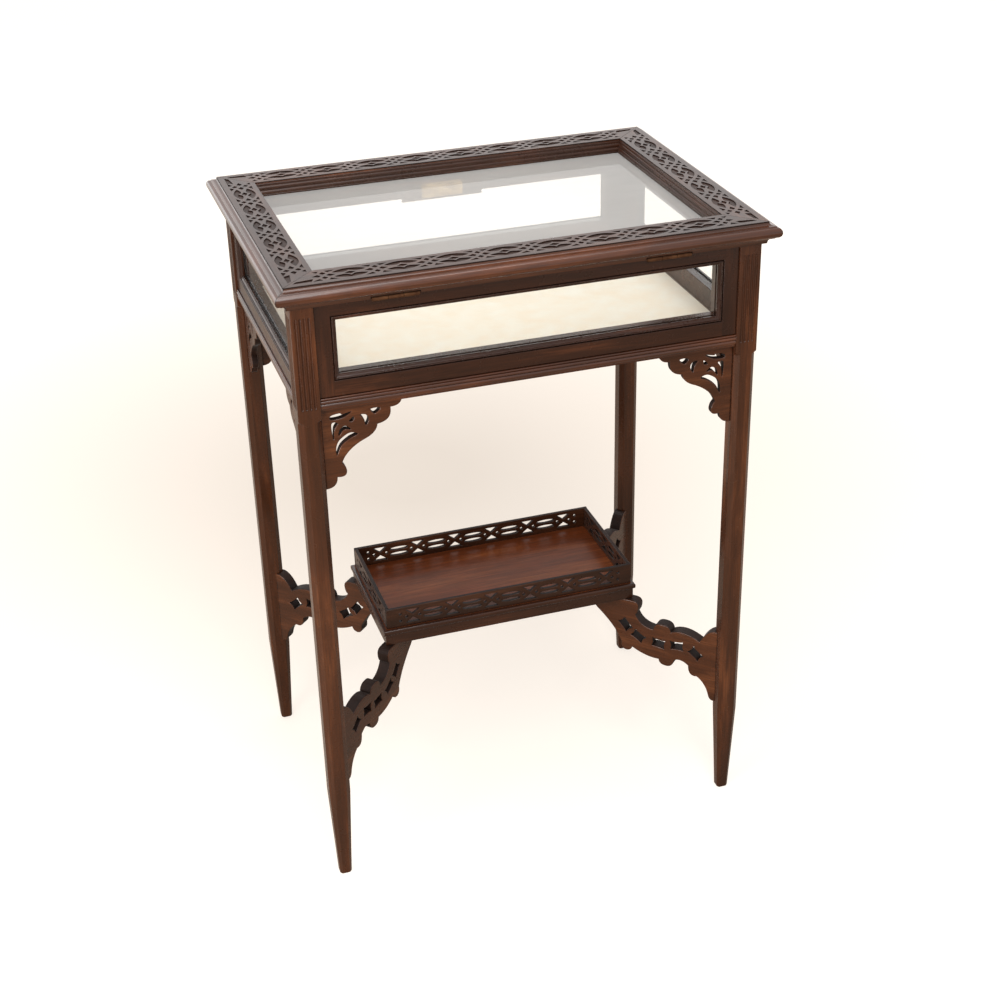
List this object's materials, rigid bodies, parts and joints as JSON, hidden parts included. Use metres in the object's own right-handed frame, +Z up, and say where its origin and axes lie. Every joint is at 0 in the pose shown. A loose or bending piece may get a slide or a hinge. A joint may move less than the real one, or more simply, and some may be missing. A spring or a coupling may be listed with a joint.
{
  "type": "display table",
  "caption": "Display table with a hinged glazed lid, glazed sides, fluted square legs, pierced spandrels and a galleried tray on pierced stretchers.",
  "frame": {"origin": "on the floor, under the middle of the table", "axes": "+Z up, +X to the right along the long side, -Y towards the hinged side of the lid"},
  "size_m": [0.552, 0.3978, 0.76],
  "materials": {
    "mahogany": "dark red-brown mahogany, polished, with darker hollows",
    "tray_mahogany": "redder mahogany board, polished, grain along the length",
    "clear_glass": "clear polished glass",
    "brass": "old lacquered brass",
    "steel": "dull steel",
    "cream_cloth": "cream cloth laid over a board"
  },
  "bodies": {
    "table": {"leg_near_left": "mahogany", "stretcher_near_left": "mahogany", "leg_near_right": "mahogany", "stretcher_near_right": "mahogany", "leg_far_right": "mahogany", "stretcher_far_right": "mahogany", "leg_far_left": "mahogany", "stretcher_far_left": "mahogany", "frame_near": "mahogany", "glass_near": "clear_glass", "glass_bead_near": "mahogany", "astragal_near": "mahogany", "gallery_near": "mahogany", "frame_right": "mahogany", "glass_right": "clear_glass", "glass_bead_right": "mahogany", "astragal_right": "mahogany", "gallery_right": "mahogany", "frame_far": "mahogany", "glass_far": "clear_glass", "glass_bead_far": "mahogany", "astragal_far": "mahogany", "gallery_far": "mahogany", "frame_left": "mahogany", "glass_left": "clear_glass", "glass_bead_left": "mahogany", "astragal_left": "mahogany", "gallery_left": "mahogany", "spandrel_near_left": "mahogany", "spandrel_near_right": "mahogany", "spandrel_right_near": "mahogany", "spandrel_right_far": "mahogany", "spandrel_far_right": "mahogany", "spandrel_far_left": "mahogany", "spandrel_left_far": "mahogany", "spandrel_left_near": "mahogany", "tray_frame": "mahogany", "tray_board": "tray_mahogany", "base_board": "mahogany", "lining_panel": "cream_cloth", "hinge_case_leaf_left": "brass", "hinge_pin_left": "steel", "hinge_case_leaf_right": "brass", "hinge_pin_right": "steel", "lock_block": "mahogany", "lock_case": "brass", "escutcheon": "brass"},
    "lid": {"lid_rail_near": "mahogany", "lid_rail_right": "mahogany", "lid_rail_far": "mahogany", "lid_rail_left": "mahogany", "lid_glass": "clear_glass", "lid_glass_bead": "mahogany", "hinge_lid_leaf_left": "brass", "hinge_lid_leaf_right": "brass", "lock_strike": "brass"},
    "bolt": {"lock_bolt": "steel"}
  },
  "joints": [
    {"name": "lid_hinge", "type": "hinge", "parent": "table", "child": "lid", "pos_m": [0, -0.1857, 0.73485], "axis": [1, 0, 0], "range_deg": [0, 95]},
    {"name": "bolt_slide", "type": "slide", "parent": "table", "child": "bolt", "axis": [1, 0, 0], "range_m": [0, 0.007]}
  ]
}
